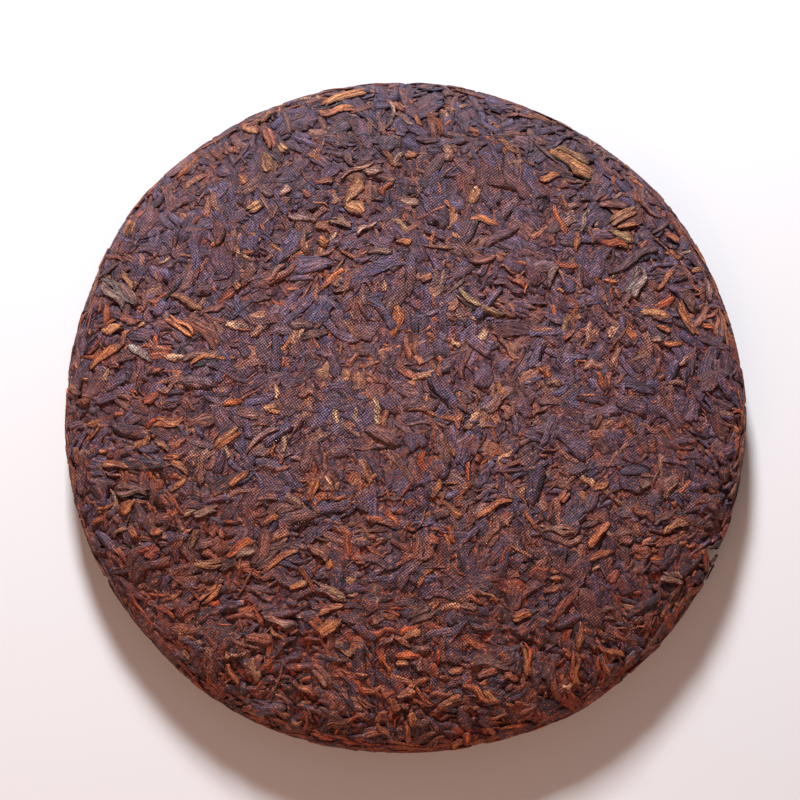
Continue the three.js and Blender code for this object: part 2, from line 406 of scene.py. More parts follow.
def headings(rng, u, v, spread, wild):
    # most leaves follow the field, those at the rim often run round it, and the wild ones lie anyhow
    heading = leafField(u, v) + rng.normal(0, spread, len(u))
    atRim = rng.uniform(0, 1, len(u)) < 0.6 * smoothStep(np.hypot(u, v), 84, 100)
    heading = np.where(atRim, np.arctan2(v, u) + pi / 2 + rng.normal(0, 0.3, len(u)), heading)
    return np.where(rng.uniform(0, 1, len(u)) < wild, rng.uniform(0, pi, len(u)), heading)


boldLeaves = {}  # by tint: ends and width in millimetres on the front's chart, and bow in hundredths
boldLeaves["orange"] = (
    (-70.5, 22.5, -62.7, 17.6, 2.4, 5), (-63, 9.1, -50.1, 10.6, 1.3, 12), (-93.3, 7.5, -83.8, 14.6, 2, 5),
    (-100.3, 3.2, -95.4, 0.2, 1.8, 0), (-72.5, -6.3, -63.9, -6.2, 2, -12), (-28.8, 86.7, -18.5, 89.1, 2.2, 5),
    (-47.5, 84.4, -42.1, 88.4, 2, 5), (-51.3, 66.5, -49.4, 63.6, 2, 0), (-28.6, 51.1, -24.8, 51.2, 2.8, 0),
    (-27.9, 47.2, -24.9, 45.2, 2.4, 0), (-5.1, 47.2, -1, 47.3, 1.8, 0), (-3.7, 73.7, 0.7, 74.6, 1.8, 0),
    (-7.2, 91.3, -3.9, 89.2, 2.2, 0), (36.8, 68.3, 42.8, 70.7, 2, 4), (16.1, 55.2, 24.9, 53.5, 2.4, 8),
    (1.8, 35.7, 5.3, 37.3, 2, 0), (59.4, 54.2, 66.2, 55.9, 1.3, 8), (78.6, 33.6, 84.1, 23.7, 2.2, -8),
    (84.6, 52.2, 88.7, 46.8, 1.4, 5), (94, 32.7, 95.5, 28.2, 1.5, 5), (70.8, 25.6, 75.9, 23.9, 1.4, 5),
    (72.8, 21, 79.3, 21.2, 1.6, -12), (55.7, 38.5, 59.6, 37.6, 1.5, 0), (52, -39.8, 58, -32.2, 2.4, 5),
    (52.4, -43.1, 59.1, -40.3, 1.6, 4), (50.1, -60.6, 49.5, -68.5, 2.1, 5), (49.5, -68.5, 49.9, -78.9, 2, -4),
    (57.2, -68.7, 64.2, -70.4, 2, 8), (87.1, -38.8, 89.3, -45.6, 2.2, 4), (94, -36, 96.5, -31, 1.7, 4),
    (91.1, -48.2, 93.3, -43.8, 1.4, 4), (82.1, -53.7, 89.4, -49.1, 1.9, 4),
    (52.9, -23.3, 57.6, -20.8, 1.6, 0), (41.3, -48.6, 44.7, -48.8, 1.6, 0), (-2.6, -66.5, 2.6, -70.1, 1.3, 5),
    (7, -59.3, 9.5, -56.1, 2, 0), (-2.4, -72.1, 5.2, -72.3, 2.1, 8), (10, -70.2, 10.1, -74.1, 1.6, 0),
    (28.7, -76.7, 33.6, -78.1, 2.1, 5), (17.7, -80, 25.5, -85.3, 1.8, 5),
    (-3.6, -88.1, -6.6, -91.4, 1.6, -15), (-6.6, -91.4, -2.5, -95, 1.6, -10),
    (-3.4, -84.1, -1, -87.8, 1.9, 5), (-1.5, -84.1, 4.1, -82.2, 1.9, 5), (2.1, -80.8, 7.7, -78.2, 1.6, 4),
    (15.5, -98.7, 18.5, -96.5, 2.2, 0), (19.4, -94.2, 19.8, -97.6, 2, 0), (28.1, -93.2, 37.7, -91.1, 1.1, 3),
    (30.8, -60.5, 35.8, -58.5, 2.1, 5), (-5.7, -60.1, -1.4, -61.4, 2.1, 5),
    (-50.4, -25.2, -45.2, -21.1, 1.5, 5), (-41.9, -36, -35.8, -33.6, 1.8, 5),
    (-72.9, -39, -68.9, -38.9, 1.9, 0), (-77.9, -38.2, -76.4, -41, 1.6, 0),
    (-50.3, -45.8, -43.7, -40.6, 2.3, 6), (-41.1, -49.7, -30.6, -42.9, 2, 3),
    (-72.4, -8.6, -66.6, -8.8, 2, 6), (-87.9, -19.9, -78.9, -20.9, 1.6, 5),
    (-69.8, -18, -64.6, -17.6, 1.5, 5), (-57.5, -58.3, -52.3, -53.1, 2.4, -5),
    (-24.4, -60.9, -16.7, -58, 1.9, 8), (-49, -75.5, -45.7, -80.8, 1.6, -8),
    (-31.1, -79.7, -23.7, -83.7, 1.9, 6), (-26.4, -21.4, -27.8, -29.4, 2.2, 5),
    (9.3, -21.5, 6.4, -27.6, 1.9, 5), (9.5, -28.3, 15.6, -32.6, 1.9, 5),
)
boldLeaves["russet"] = (
    (-65.6, 22.9, -55.6, 13.3, 3.5, 12), (-61.5, 23.5, -53.5, 26.6, 1.6, 5),
    (-84.6, 23.3, -78.4, 21.9, 1.8, -8), (-63.5, -7.1, -55.3, -6.3, 2, 5), (-39.6, 87.3, -37.6, 79.3, 1.8, 6),
    (-21.3, 74.3, -18.8, 69.6, 2.4, 0), (39.6, 51.3, 40.1, 47.7, 2, 0), (15.7, 42.7, 23.8, 44.3, 1.9, -14),
    (69.9, 27.7, 73.8, 27.7, 1.3, 6), (54.5, 61.3, 63, 61.7, 1.9, 8), (-53, -12.2, -50, -9.8, 1.9, 0),
    (-54.7, -16.8, -57.1, -21.1, 2.2, 10), (-57.1, -21.1, -58.9, -25.4, 2, -10),
    (-42.7, -29.3, -36.3, -28, 1.9, 5), (-39.6, -37.4, -42.9, -47.2, 3.2, 6),
    (-59.5, -43.5, -53.9, -40.8, 2.5, 6),
)
boldLeaves["amber"] = (
    (-69.6, 29.6, -60.4, 25.3, 1.9, 4), (-85.1, 37.2, -81, 30.4, 1.5, 5), (-89.9, 18.4, -83.2, 20, 2.8, 8),
    (-78.7, -15.5, -73.6, -12.3, 1.6, 0), (-72.4, -12.6, -67.9, -16.3, 1.6, 8),
    (-67.9, -16.3, -61.5, -22.9, 1.6, -5), (-45, 73.3, -43.2, 67.1, 3.6, 5),
    (-51.8, 83.4, -46.9, 80.2, 2.6, 0), (-40.4, 76.3, -38.2, 73.9, 2.2, 0), (-16.6, 65.9, -20.2, 58.3, 3, 8),
    (-21, 58.3, -14.9, 55.2, 3.6, 5), (-48.4, 54.8, -44.7, 57.4, 2.3, 0), (42.5, 80.2, 52.1, 74.9, 2, 3),
    (18.3, 65, 15.7, 59.5, 2.5, 0), (47.5, 52.3, 47.1, 46.4, 1.8, 3), (57.3, 55.3, 65.5, 61, 2.5, 5),
    (66.3, 29.3, 75.7, 28.4, 2.4, 12), (82.9, 43.5, 87.5, 45.4, 1.3, 0), (73.5, -35.3, 82.1, -31.8, 1.9, 14),
    (34.2, -66.9, 35.8, -76.8, 2.5, 5), (23.5, -81.5, 27.7, -84.9, 1.7, 0), (10.6, -86.7, 17.3, -83.7, 2, 5),
    (3.2, -88, 3.4, -91.6, 2.3, 0), (1.4, -91, 2.5, -97.2, 2, 4), (-80.7, -34, -77.3, -30.2, 2.5, 4),
    (-67.3, -27.3, -62.6, -23.5, 1.5, 0), (-55.1, -15.1, -48, -9.5, 2.4, 5),
    (-59.6, -46.9, -52, -47, 2.5, -10), (-41.5, -3.3, -38.2, -2.3, 1.7, 0),
    (-23.9, -66.7, -17.1, -62.2, 2.9, 5),
)
boldLeaves["brown"] = (
    (-65.6, 10.5, -53.9, 12.8, 2.2, 5), (-45, 62.7, -41.4, 59.6, 2.6, 0), (79.7, 38, 83.4, 30.7, 3.4, 5),
    (0.9, -62.8, 8.7, -58.7, 3.2, 5), (19.5, -73.3, 30.3, -74.8, 2.7, 12), (-83, -27.5, -73, -27.7, 2.7, 4),
    (-42.9, -47.8, -32.4, -40.5, 2.9, 4), (-63.2, -8.8, -55.3, -6.6, 1.9, 0),
    (-35.5, 21.4, -27.8, 21.6, 2.2, 5), (-31.4, 17.5, -24, 19.4, 2, 4),
)
boldLeaves["pinkTan"] = (
    (-86.1, 33.3, -79.3, 26.1, 2.4, 5), (-36.5, 53.3, -28.9, 52.6, 2, 6), (41.9, 41.7, 39.3, 35, 1.8, -12),
    (87.8, 42.1, 88.6, 34.2, 1.8, 5), (71, -32.2, 77.9, -27.9, 2, 5), (-5.7, -69.1, -2.6, -66.5, 1.4, 0),
    (2.6, -71.7, 7.9, -69.7, 2.8, 4), (-9.3, -62.7, -4.5, -60.9, 2, 0), (-45.7, -16, -36.7, -8.9, 1.8, 14),
    (-49.2, -4.1, -43.1, -5.6, 2.4, 6), (-24.7, -52.5, -16.7, -57.4, 2, 4),
    (-24.5, -75.7, -20.7, -80.8, 2.8, 8),
)
boldLeaves["taupe"] = (
    (-91.6, 34.5, -82, 26.2, 3.8, 4), (-81.9, 14.6, -74.3, 9.5, 2.2, 3), (66, 43.8, 62.7, 33.9, 3.6, 14),
    (90.4, -42.9, 94.4, -41.4, 1.5, 0),
)
boldLeaves["redOrange"] = (
    (-74.1, 6.6, -71.3, 7.8, 1.8, 0), (-76.3, -2.3, -71.5, 0.6, 2.8, 0), (-97, -1.8, -92.3, -2, 2.4, 0),
    (-44.6, 81.6, -42.1, 74.6, 2.6, 0), (-30.3, 65.4, -24.2, 65.3, 1.8, -10),
    (-33, 61.9, -30.6, 59.5, 1.4, 0), (74.1, 54.3, 79.3, 52.2, 1.8, 4), (57.9, -49.1, 61.3, -45.9, 2.4, 0),
    (41.1, -62.3, 50.3, -50.8, 3, 6), (64.7, -27.3, 71, -31.1, 2.5, 6), (69.6, -70.7, 76.8, -67.9, 2.5, 5),
    (43.7, -27, 45.7, -23.8, 2.3, 0), (21.1, -77.9, 27.5, -75, 2.3, 5), (2.6, -92.5, 8.8, -90.9, 2.1, 5),
    (-73.4, -46, -70.3, -43.1, 2.8, 0), (-55.9, -39.5, -53.2, -36.3, 2.8, 0),
    (-63.2, -62.7, -57.5, -58.3, 2.3, 5), (-44.6, -67.8, -36.7, -68.4, 2.5, 4),
)
boldLeaves["gold"] = (
    (-51.3, 33, -49.5, 31.6, 1.8, 0), (-27.8, 90.1, -15.4, 96.4, 2.6, 4), (39.7, 78.8, 52.5, 70.1, 4.6, 6),
    (-0.9, -66.5, 4.9, -64.4, 3, 5), (-1.8, -74.1, 1.9, -74.3, 1.5, 0), (13.3, -76.3, 17.3, -75.4, 1.9, 0),
    (-21.3, -45.4, -20.9, -47.9, 1.9, -10), (-32.2, -53.8, -27.5, -52, 1.8, 4),
    (-49.9, -72.8, -48.4, -73.2, 1.8, 0), (20.1, -32.4, 29.7, -27.3, 1.8, 10),
)
boldLeaves["tan"] = (
    (-21.9, 65.7, -12.1, 70.8, 1.1, 3), (-15.2, 67.8, -10, 69.6, 2.2, 0), (-24.6, 52.7, -18.2, 51.4, 2, 5),
    (-17.2, 48.1, -10.4, 52.7, 1.2, 10), (-13.6, 43.2, -6.1, 43.8, 1.8, 6), (-4.2, 59.7, 1.1, 59.3, 2, 0),
    (-8.4, 92.8, -7.1, 85.9, 1.2, 10), (-7.1, 85.9, -11.5, 80.9, 1.2, 5), (-6.9, 87.7, -0.9, 83.4, 1.3, 5),
    (-39.6, 59.9, -36.5, 62.7, 1.8, 0), (8.7, 77.7, 10.5, 72.9, 2.8, 0), (6.1, 41.2, 7.1, 33.3, 1, 0),
    (8.7, 39.9, 7.1, 33.3, 1, 5), (26.3, 72.8, 32.6, 74.2, 1.8, 5), (70.1, 21.1, 73.1, 21.6, 1.6, 0),
    (37.8, -34.6, 48.2, -35.7, 2, 4), (49.7, -49.2, 59.1, -42, 1, 3), (74, -46.9, 80.7, -48.2, 3, 6),
    (66.7, -22.1, 69.3, -19.7, 1.8, 0), (15.5, -57.6, 20.9, -57.7, 1.8, 5),
    (-60.3, -34.5, -53.3, -32.4, 1.8, 5), (-48.3, -45.5, -42.2, -42.8, 1.9, 4),
    (-28.2, -41.4, -21.3, -45.4, 1.9, 5), (-39.5, -61.2, -30.4, -63.2, 2, -8),
)
boldLeaves["olive"] = (
    (13.2, 34.2, 20, 29.1, 1.9, -10), (20, 29.1, 26.9, 26.7, 1.7, -8), (56.6, 53.4, 63.9, 50.3, 2, 5),
    (-60.9, -43.8, -58.8, -38.1, 1.8, 8), (-22.4, -53, -16.5, -56.3, 1.8, 5),
)
boldLeaves["slate"] = (
    (56.3, 39.4, 72.6, 50, 2, 3), (88.1, -38.2, 93.5, -36.3, 1.5, -8),
)
# near-black strips laid in the gaps beside proud leaves: painted shadow
boldLeaves["shadowStrips"] = (
    (-66.5, 34.9, -69.6, 30.5, 0.8, 4), (-69.6, 30.5, -72.4, 26.1, 0.7, -4),
    (-18.2, 79.4, -11.7, 79.9, 0.7, 4), (-48, 65.2, -45.6, 63.6, 0.7, 0), (39.9, 76.8, 51.8, 69, 1, 3),
    (40.7, 51.7, 49.3, 57.8, 0.9, 2), (56.9, 38.5, 72.9, 49, 0.8, 2), (77.3, 32.8, 82.8, 23, 0.8, -6),
    (-70.5, 21.4, -63.6, 16.4, 0.8, 4), (-66.1, 21.1, -57, 11.8, 0.9, 12), (-62.9, 7.9, -50.1, 9.4, 0.8, 12),
    (-82.9, -28.9, -72.9, -29.1, 0.8, 3), (-27.7, 88.5, -15.4, 94.6, 0.7, 4),
    (12.1, 33.2, 18.8, 27.9, 0.8, -8),
)
boldRows = np.array([row for rows in boldLeaves.values() for row in rows])
boldClearance = 0.4  # kept free of scattered leaves round the bold ones


def clearOfBold(u, v):
    along = np.linspace(0.1, 0.9, 5)[:, None, None]
    spots = (boldRows[:, :2] * (1 - along) + boldRows[:, 2:4] * along).reshape(-1, 2)
    reach = np.tile(boldRows[:, 4] / 2 + boldClearance, len(along))
    return (np.hypot(u[:, None] - spots[:, 0], v[:, None] - spots[:, 1]) > reach).all(axis=1)


def fanned(bunch):
    # the bunch that each leaf belongs to, and its place in it, counted from the middle
    which = np.repeat(np.arange(len(bunch)), bunch)
    order = np.arange(len(which)) - np.repeat(np.cumsum(bunch) - bunch, bunch)
    return which, order - (bunch[which] - 1) / 2


bunches = dict(widths=(0.75, 1.2), spacing=0.92, slide=1.8, turn=0.1, fan=0.08)  # leaves side by side


def layLeaves(face, kind, rng):
    # one entry for each leaf of a kind on one face: where it lies and its form
    u, v = spiralPlaces(kind[face], kind.get("inner", 0), chartRadius + 1, rng, kind["jitter"])
    heading = headings(rng, u, v, kind["spread"], kind["wild"])
    if "inner" in kind:  # round the rim
        heading = np.arctan2(v, u) + pi / 2 + rng.normal(0, kind["spread"], len(u))
    width = between(rng, kind["width"], len(u), 1.3)
    bunch = rng.integers(*kind["bunch"], len(u)) if "bunch" in kind else np.ones(len(u), int)
    which, order = fanned(bunch)
    u, v, heading, width = (values[which] for values in (u, v, heading, width))
    count = len(u)
    width = width * rng.uniform(*bunches["widths"], count)
    shift = order * width * bunches["spacing"]
    slide = rng.normal(0, bunches["slide"], count) * (bunch[which] > 1)
    u = u - np.sin(heading) * shift + np.cos(heading) * slide
    v = v + np.cos(heading) * shift + np.sin(heading) * slide
    heading = heading + rng.normal(0, bunches["turn"], count)
    heading = heading + order * rng.normal(0, bunches["fan"], count)
    loose = looseness(face, u, v)
    kept = rng.uniform(0, 1, count) < 1 - kind["shy"] * (1 - smoothStep(loose, 0.1, 0.7))
    kept &= rng.uniform(0, 1, count) < 1 - kind.get("low", 0) * smoothStep(v + 0.35 * u, -75, 40)
    if face == "front" and "bunch" in kind:
        kept &= clearOfBold(u, v)
    u, v, heading, width, loose, which = (values[kept] for values in (u, v, heading, width, loose, which))
    count = len(u)
    ground = groundLevel(loose)
    return dict(
        u=u, v=v, heading=heading, width=width, loose=loose,
        length=between(rng, kind["length"], count, 1.4),
        thick=width * between(rng, kind["thick"], count),
        bow=rng.normal(0, kind["bow"], count),
        wiggle=rng.normal(0, kind["bow"] * 0.5, count),
        roll=rng.normal(0, kind["roll"], count),
        twist=rng.normal(0, kind["twist"], count),
        top=ground + (pressPlane - ground) * between(rng, kind["height"], count),
        proud=rng.uniform(0.02, 0.4, count) * (1 - 0.6 * loose),
        lean=rng.normal(0, 0.006, count) * (0.3 + loose),
        family=rng.uniform(0, 1, bunch.size)[which],
    )


def boxed(wave, box):
    # 1 leaves a wave as it is, and less makes it squarer
    return np.sign(wave) * np.abs(wave) ** box


def capped(start, grid, end):
    # one row for each leaf: its first tip, its rings and its last tip
    return np.concatenate([start[:, None], grid.reshape(len(grid), -1), end[:, None]], axis=1)


leafShape = dict(  # what the leaves of all kinds share
    gather=0.75,  # less than 1 draws the sections to the tips
    blunt=(1.5, 4.8), skew=0.4, uneven=0.08, folds=0.14, crumple=0.13, slant=0.12, wiggleRate=4.2,
)


def leafForms(face, leaves, kind, rng):
    # vertices, tightness against the cloth and height on the leaf: arrays of leaf by section by side
    count, sides, sections = len(leaves["u"]), len(kind["ring"]), kind["sections"]
    column = {name: values[:, None, None] for name, values in leaves.items()}
    t = boxed(np.linspace(-1, 1, sections + 2)[1:-1], leafShape["gather"])
    t = t[None, :, None] * np.ones((count, 1, 1))
    theta = np.array(kind["ring"])[None, None, :]
    if face == "back":
        theta = pi - theta  # keeps the faces outward there
    blunt = rng.uniform(*leafShape["blunt"], count)[:, None, None]
    skew = rng.uniform(-leafShape["skew"], leafShape["skew"], count)[:, None, None]
    taper = (1 - np.abs(t) ** blunt).clip(0.03, 1) ** 0.6 * (1 + skew * t)
    taper = taper * (1 + rng.normal(0, leafShape["uneven"], (count, sections, 1)))
    folds = 1 + rng.normal(0, leafShape["folds"], (count, 1, sides))
    folds = folds + rng.normal(0, leafShape["crumple"], (count, sections, sides))
    across = column["width"] / 2 * taper * boxed(np.cos(theta), kind["box"]) * folds
    up = column["thick"] / 2 * (0.4 + 0.6 * taper) * boxed(np.sin(theta), kind["box"]) * folds
    roll = column["roll"] + column["twist"] * t
    sideways = across * np.cos(roll) - up * np.sin(roll)
    up = across * np.sin(roll) + up * np.cos(roll)

    slant = rng.normal(0, leafShape["slant"], (count, sections, sides)) * column["width"]
    along = t * column["length"] / 2 + slant
    bend = column["bow"] * (0.5 - t**2) + column["wiggle"] * np.sin(leafShape["wiggleRate"] * t)
    sideways = sideways + bend * column["length"]
    cap = column["top"] + column["lean"] * along
    wanted = cap - column["thick"] / 2 + column["proud"] * column["thick"] + up
    soft = 0.03 + 0.1 * column["loose"]
    lift = cap - soft * np.log1p(np.exp(np.clip((cap - wanted) / soft, -30, 30)))
    lift = np.where(wanted < cap - 4 * soft, wanted, lift)
    pressed = smoothStep(wanted - cap, -0.3, 0.05) * (1 - 0.5 * column["loose"])
    # 1 on a leaf's top and 0 at its sides and underneath, for the painted shade there
    ridge = np.clip(np.sin(theta), 0, 1) * np.ones_like(lift)

    tips = []
    for end in (-1.0, 1.0):
        bend = leaves["bow"] * -0.5 + leaves["wiggle"] * np.sin(leafShape["wiggleRate"] * end)
        dip = leaves["top"] - leaves["thick"] * 0.7
        tips.append((end * leaves["length"] / 2, bend * leaves["length"], dip))
    rings = (along, sideways, lift)
    along, sideways, lift = (capped(*parts) for parts in zip(tips[0], rings, tips[1]))
    nought = np.zeros(count)
    heading = leaves["heading"][:, None]
    u = leaves["u"][:, None] + along * np.cos(heading) - sideways * np.sin(heading)
    v = leaves["v"][:, None] + along * np.sin(heading) + sideways * np.cos(heading)
    return onFace(face, u, v, lift), capped(nought, pressed, nought), capped(nought, ridge, nought)


def leafFaces(sides, sections):
    # the corners of one leaf's faces: their vertices, and where they are along and round the leaf
    spots = []
    for j in range(sides):
        spots.append(((0, j + 0.5), (1, j + 1), (1, j)))
        for k in range(1, sections):
            spots.append(((k, j), (k, j + 1), (k + 1, j + 1), (k + 1, j)))
        spots.append(((sections + 1, j + 0.5), (sections, j), (sections, j + 1)))
    last = 1 + sides * sections
    vertex = lambda k, j: 0 if k == 0 else last if k > sections else 1 + (k - 1) * sides + j % sides
    return [[vertex(*spot) for spot in face] for face in spots], spots


def addObject(name, data):
    made = bpy.data.objects.new(name, data)
    bpy.context.scene.collection.objects.link(made)
    return made


def finishPiece(name, mesh, material):
    mesh.materials.append(material)
    piece = addObject(name, mesh)
    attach(piece, "root")
    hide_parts("tea_cake")


def joinLeaves(name, batches, kind):
    # one mesh out of all leaves of one kind
    sides, sections = len(kind["ring"]), kind["sections"]
    whole = {part: np.concatenate([batch[part] for batch in batches]) for part in batches[0]}
    points, size = whole["points"] * mm, whole["size"]
    count, corners = points.shape[:2]
    faces, spots = leafFaces(sides, sections)
    number = np.arange(count)[:, None]
    loops = (np.concatenate(faces)[None, :] + number * corners).ravel()
    totals = np.tile([len(face) for face in faces], count)

    mesh = bpy.data.meshes.new(name)
    mesh.vertices.add(count * corners)
    mesh.loops.add(len(loops))
    mesh.polygons.add(len(totals))
    mesh.vertices.foreach_set("co", points.ravel())
    mesh.loops.foreach_set("vertex_index", loops)
    mesh.polygons.foreach_set("loop_start", np.cumsum(totals) - totals)
    mesh.update(calc_edges=True)
    crumpled = np.sin(np.arange(count) * 45.1) < -0.5  # these leaves keep their sharp folds
    mesh.polygons.foreach_set("use_smooth", np.repeat(~crumpled, len(faces)))
    tints = ("leafTint", "FLOAT_COLOR", "color")
    for title, form, channel in (tints, ("pressed", "FLOAT", "value"), ("ridge", "FLOAT", "value")):
        layer = mesh.attributes.new(title, form, "POINT")
        layer.data.foreach_set(channel, whole[title].ravel())

    flatSpots = np.concatenate(spots)[None]
    along = flatSpots[..., 0] / (sections + 1)
    around = flatSpots[..., 1] / sides
    scatter = number * 7.31
    slant = np.sin(number * 12.9) * 0.25  # some leaves are twisted, so their furrows slant
    grainU = along * size[:, :1] + scatter
    grainV = around * size[:, 1:] * 2.4 + scatter * 1.7 + grainU * slant
    columns = int(np.ceil(np.sqrt(count * 0.35)))
    rows = int(np.ceil(count / columns))
    margin = 0.06
    bakeU = (number % columns + margin + (1 - 2 * margin) * along) / columns
    bakeV = (number // columns + margin + (1 - 2 * margin) * around) / rows
    for title, pair in (("OFBake", (bakeU, bakeV)), ("grain", (grainU, grainV))):
        layer = mesh.uv_layers.new(name=title)
        layer.data.foreach_set("uv", np.stack(pair, axis=-1).ravel())
    finishPiece(name, mesh, leafFinish(name, kind))
    print(name, count, "leaves", (totals - 2).sum(), "triangles")


tinting = dict(
    uneven=0.14,
    warmth=(0.02, -0.09, -0.16),  # what one step of warmth adds to red, green and blue
    coldest=0.9,
    lowDown=0.6,  # the warmth varies more there
    fadeStart=(0.0, 1.6), fadeEnds=(0.4, 0.5),
)


def shadedTints(colour, leaves, kind, rng):
    # per vertex: many leaves fade to the dark of the ground at one end
    count, sides, sections = len(colour), len(kind["ring"]), kind["sections"]
    colour = colour * rng.normal(1, tinting["uneven"], (count, 1)).clip(0.5, 1.6)
    warmth = rng.exponential(1.0, (count, 1)).clip(0, 3.2) - tinting["coldest"]
    warmth = warmth * (1 + tinting["lowDown"] * smoothStep(-leaves["v"], -40, 50)[:, None])
    colour = colour * (1 + warmth * np.array(tinting["warmth"]))
    t = np.concatenate([[-1], np.repeat(np.linspace(-1, 1, sections + 2)[1:-1], sides), [1]])
    direction = rng.choice((-1, 1), count)[:, None]
    start = rng.uniform(*tinting["fadeStart"], count)[:, None]
    before, after = tinting["fadeEnds"]
    fade = smoothStep(direction * t, start - before, start + after)[..., None] * kind["fade"]
    tint = colour[:, None, :] * (1 - fade) + linear(*slates[0]) * fade
    gloss = np.broadcast_to(rng.uniform(0, 1, (count, 1, 1)), (*tint.shape[:2], 1))
    return np.concatenate([tint, gloss], axis=2)


def kindTints(leaves, kind, rng):
    # each leaf takes a colour between two neighbours of its kind's range, families alike
    stops = np.array([linear(*colour) for colour in kind["colours"]])
    share = np.clip(0.65 * leaves["family"] + 0.35 * rng.uniform(0, 1, len(leaves["u"])), 0, 0.999)
    place = share * (len(stops) - 1)
    low = place.astype(int)
    colour = stops[low] + (stops[low + 1] - stops[low]) * (place - low)[:, None]
    return shadedTints(colour, leaves, kind, rng)


def leafBatch(face, leaves, tint, kind, rng):
    points, pressed, ridge = leafForms(face, leaves, kind, rng)
    size = np.stack([leaves["length"], leaves["width"]], axis=-1)
    return dict(points=points, pressed=pressed, ridge=ridge, leafTint=tint, size=size)


def growKind(name, kind, seed):
    # one kind of scattered leaves, on both faces
    rng = np.random.default_rng(seed)
    batches = []
    for face in ("front", "back"):
        leaves = layLeaves(face, kind, rng)
        batch = leafBatch(face, leaves, kindTints(leaves, kind, rng), kind, rng)
        kept = fromGap(batch["points"], cake["gapRoom"]).min(axis=1) > 1
        batches.append({part: values[kept] for part, values in batch.items()})
    joinLeaves(name, batches, kind)


def growBold(kind, seed):
    # the bold leaves of the front, each between its own two ends; wide ones are often two side by side
    rng = np.random.default_rng(seed)
    doubled = (boldRows[:, 4] > kind["doubledOver"]) & (rng.uniform(0, 1, len(boldRows)) < kind["doubled"])
    bunch = np.where(doubled, 2, 1)
    which, order = fanned(bunch)
    rows = boldRows[which]
    count = len(rows)
    span = rows[:, 2:4] - rows[:, :2]
    middle = (rows[:, 2:4] + rows[:, :2]) / 2
    length = np.hypot(span[:, 0], span[:, 1]) * rng.uniform(0.95, 1.15, count)
    heading = np.arctan2(span[:, 1], span[:, 0]) + order * rng.normal(0, bunches["fan"], count)
    width = rows[:, 4] * 1.1 / np.where(bunch[which] > 1, 1.75, 1)
    bow = rows[:, 5] / 100 + rng.normal(0, 0.015, count)
    aside = bow * length / 2 + order * width * 0.85
    loose = looseness("front", *middle.T)
    gap = rows[:, 4] <= kind["gapWidth"]
    leaves = dict(
        u=middle[:, 0] - np.sin(heading) * aside,
        v=middle[:, 1] + np.cos(heading) * aside,
        heading=heading, width=width, length=length, bow=bow, loose=loose,
        thick=width * between(rng, kind["thick"], count),
        wiggle=rng.normal(0, 0.03, count),
        roll=rng.normal(0, kind["roll"], count),
        twist=rng.normal(0, kind["twist"], count),
        top=np.where(gap, 0.5, between(rng, kind["height"], count) + 0.15 * loose),
        proud=rng.uniform(0.1, 0.4, count),
        lean=rng.normal(0, 0.006, count),
    )
    tints = [linear(*boldTints[name]) for name, rows in boldLeaves.items() for row in rows]
    # all bold tints a little darker, with painted light: redder low down, greyer high up
    toneAndPaintedLight = kind["strength"] + leaves["v"][:, None] / chartRadius * np.array(kind["rise"])
    tint = shadedTints(np.array(tints)[which] * toneAndPaintedLight, leaves, kind, rng)
    joinLeaves("bold_leaves", [leafBatch("front", leaves, tint, kind, rng)], kind)


# the slates' bluish grey is partly a painted cool sheen on dark brown leaves
slates = ((56, 39, 49), (77, 56, 69), (83, 67, 84), (94, 62, 60))
browns = ((102, 62, 52), (124, 78, 60), (142, 94, 70))
russets = ((131, 65, 39), (149, 81, 44), (159, 100, 58))
tans = ((140, 94, 66), (157, 110, 76), (170, 126, 92))
boldTints = dict(
    orange=(174, 99, 51), russet=(130, 74, 58), amber=(170, 110, 62), brown=(112, 74, 62),
    pinkTan=(146, 100, 86), taupe=(136, 113, 98), redOrange=(152, 76, 44), gold=(186, 114, 60),
    tan=(152, 110, 88), olive=(156, 125, 82), slate=(98, 66, 68), shadowStrips=(14, 8, 10),
)

# A kind gives its leaves on each face and how they lie: jitter shakes their places, spread and wild
# turn them, bunch lays some side by side, shy keeps them off hard pressed ground, and low draws them
# to the lower rim. Their form is in millimetres, with a ring of angles for the corners round a leaf.
slimRing = (-0.4, 0.5, 1.57, 2.64, 3.54)
flake = dict(
    ring=(-0.35, 0.3, 0.85, 1.57, 2.3, 2.84, 3.5), sections=6, box=0.6,
    thick=(0.3, 0.5), roll=0.02, twist=0.03, spread=0.6, shy=0.0,
    shade=-0.45, furrowShade=0.8, creaseShade=0.35, speckShade=1.05, edgeShade=0.7,
    furrowDepth=0.3, creaseDepth=0.1, speckDepth=0.05, mottle=0.45, rust=0.65, weave=1.0, paintedLight=1.0,
    roughness=0.68, roughSpecks=0.15, roughSpread=0.2, specular=0.38,
)
strand = dict(flake, box=0.8, thick=(0.7, 1.2), roll=0.12, twist=0.2, edgeShade=0.65, fade=0.7)
sliver = dict(strand, ring=slimRing, sections=5, thick=(0.6, 1.0))
dark = dict(jitter=3.0, spread=0.35, wild=0.3, fade=0.4, colours=slates)
brown = dict(jitter=4.0, spread=0.4, wild=0.4, bow=0.08, rust=0.6, colours=browns)
russet = dict(jitter=5.0, spread=0.5, wild=0.5, bow=0.1, box=0.85, low=0.6, rust=0.3, colours=russets)
furrowed = dict(shade=-0.57, furrowShade=1.05)
bold = dict(
    flake, **furrowed, ring=(-0.4, 0.2, 0.65, 1.2, 1.94, 2.49, 2.94, 3.54), sections=9, box=0.75,
    thick=(0.4, 0.7), roll=0.06, twist=0.12, height=(0.5, 0.82), fade=0.45,
    doubled=0.4,  # share of the leaves over this width that are two side by side
    doubledOver=1.9,
    gapWidth=1.0,  # rows up to this width lie lower, most of them the near-black strips of painted shadow in the gaps
    strength=0.81,
    rise=(-0.06, 0.03, 0.12),  # redder low down, greyer high up: partly the leaves' own colour, partly painted light
    furrowDepth=0.42, edgeShade=0.75, rust=0.4, weave=0.6, paintedLight=0.35, roughness=0.65, specular=0.48,
)
